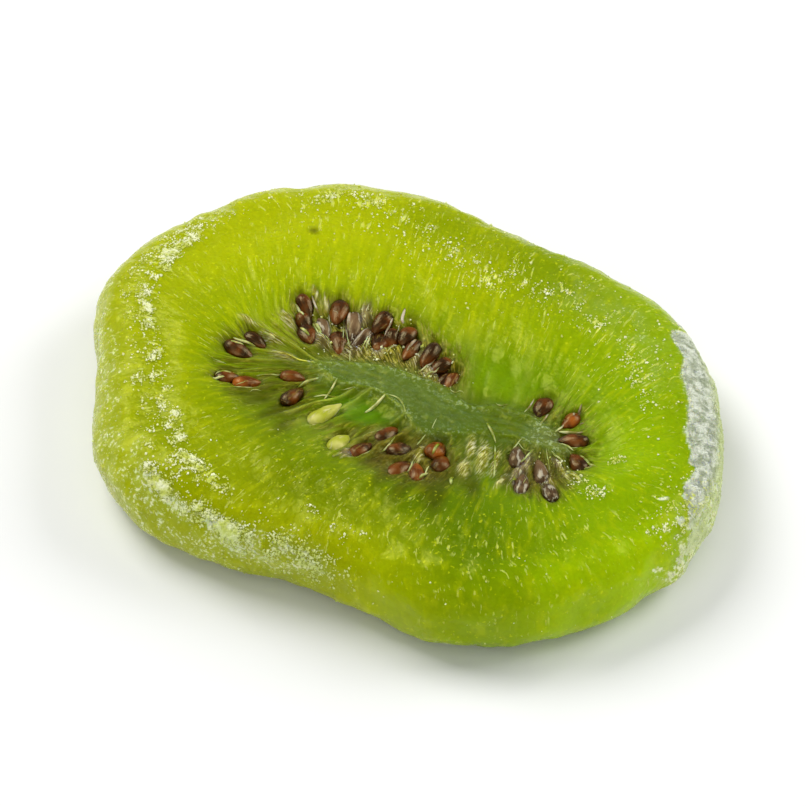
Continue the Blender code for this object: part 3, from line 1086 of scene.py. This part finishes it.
def sugar_finish(name, clear, white):
    """Whitish on top, and yellower from where the rim turns down."""
    crystal = Finish(name, Specular_IOR_Level=0.5)
    place = crystal.place()
    patches = crystal.noise(place, 0.6 * MM)
    low = 1 - crystal.between(crystal.how_far(place, (0, 0, 1)), 4.8, 6.4)
    colour = crystal.blend(crystal.between(patches, 0.38, 0.62), clear, white)
    colour = crystal.blend(low * 0.6, colour, dye(208, 222, 130))
    return crystal.surface(Base_Color=colour, Roughness=0.2 + 0.2 * patches)


# (piece, count, the stored value that it follows, from what value, size, two colours)
SUGAR = (
    ("sugar_scattered", 9500, "sugar", 0.0, GRAIN_SIZE, dye(206, 214, 90), dye(244, 246, 206)),
    ("sugar_crust", 24000, "frost", 0.6, CRUST_GRAIN_SIZE, dye(176, 184, 156), dye(228, 232, 216)),
)
draw = np.random.default_rng(81)
for name, count, where, least, size, clear, white in SUGAR:
    density = np.maximum(face_values(flesh.data, where) - least, 0)
    piece = joined(name, grain_corners(count, density, size, draw), GRAIN_FACES)
    piece.data.shade_flat()
    piece.data.materials.append(sugar_finish(name, clear, white))
    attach(piece, "root")


# ---------------------------------------------------------------- the table and the light
# A plain pale table that curves up into a backdrop all round, soft light from the left, the front
# and the far right, and a long lens that looks down on the slice at 45 degrees.

AZIMUTH, ELEVATION = 24, 45
LENS_MM, SENSOR_MM = 300, 36
SLICE_SHARE, MARGIN = 0.80, 1.03
TABLE_RADIUS, CURVE_RADIUS = 1.0, 0.45
TABLE_SPOKES, CURVE_STEPS = 96, 16


def table_finish():
    matt = Finish("pale_table", Specular_IOR_Level=0.15)
    speckle = matt.noise(matt.place(), 30 * MM)
    colour = matt.blend(speckle, dye(238, 238, 237), dye(242, 242, 241))
    return matt.surface(Base_Color=colour, Roughness=0.75 + 0.05 * speckle)


def seen_from(azimuth, elevation):
    """The direction from the slice to a camera or light, given by two angles in degrees."""
    azimuth, elevation = math.radians(azimuth), math.radians(elevation)
    flat = math.cos(elevation)
    return Vector((math.sin(azimuth) * flat, -math.cos(azimuth) * flat, math.sin(elevation)))


def aim(thing, at):
    thing.rotation_mode = "QUATERNION"
    thing.rotation_quaternion = (at - thing.location).to_track_quat("-Z", "Y")
    bpy.context.scene.collection.objects.link(thing)


def add_light(name, azimuth, elevation, distance, size, watts, colour):
    lamp = bpy.data.lights.new(name, "AREA")
    lamp.size, lamp.energy, lamp.color = size, watts, colour
    light = bpy.data.objects.new(name, lamp)
    light.location = seen_from(azimuth, elevation) * distance
    aim(light, Vector((0, 0, 0)))


turns = np.linspace(0, math.pi / 2, CURVE_STEPS)
radii = np.concatenate([[0.0], TABLE_RADIUS + CURVE_RADIUS * np.sin(turns)])
heights = np.concatenate([[0.0], CURVE_RADIUS * (1 - np.cos(turns))])
around = np.arange(TABLE_SPOKES) / TABLE_SPOKES * math.tau
x = radii[:, None] * np.cos(around)
y = radii[:, None] * np.sin(around)
z = np.repeat(heights[:, None], TABLE_SPOKES, 1)
numbers = np.arange(x.size).reshape(x.shape)
numbers[0] = 0
table = mesh_object("table", np.stack([x, y, z], -1).reshape(-1, 3), between_rings(numbers))[0]
table.data.materials.append(table_finish())
table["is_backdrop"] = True

add_light("key", -105, 50, 0.50, 0.30, 2.0, (1.0, 1.0, 0.98))
add_light("back", 135, 35, 0.50, 0.30, 1.5, (1.0, 1.0, 1.0))
add_light("front", 10, 60, 0.60, 0.40, 0.35, (0.98, 1.0, 1.0))
add_light("fill", 20, 22, 0.60, 0.40, 1.0, (1.0, 1.0, 0.98))
world = bpy.data.worlds.new("studio")
world.use_nodes = True
sky = world.node_tree.nodes["Background"]
sky.inputs["Color"].default_value = (0.94, 0.97, 1.0, 1)
sky.inputs["Strength"].default_value = 0.22
bpy.context.scene.world = world

low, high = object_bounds()
middle = (low + high) / 2
lens = bpy.data.cameras.new("camera")
lens.lens, lens.sensor_width = LENS_MM, SENSOR_MM
lens.clip_start, lens.clip_end = 0.01, 10
camera = bpy.data.objects.new("camera", lens)
seen_width = (high.x - low.x) * math.cos(math.radians(AZIMUTH)) * MARGIN
distance = seen_width / SLICE_SHARE * LENS_MM / SENSOR_MM
camera.location = middle + seen_from(AZIMUTH, ELEVATION) * distance
aim(camera, middle)
bpy.context.scene.camera = camera
bpy.context.scene.view_settings.view_transform = "Standard"

low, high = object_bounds()
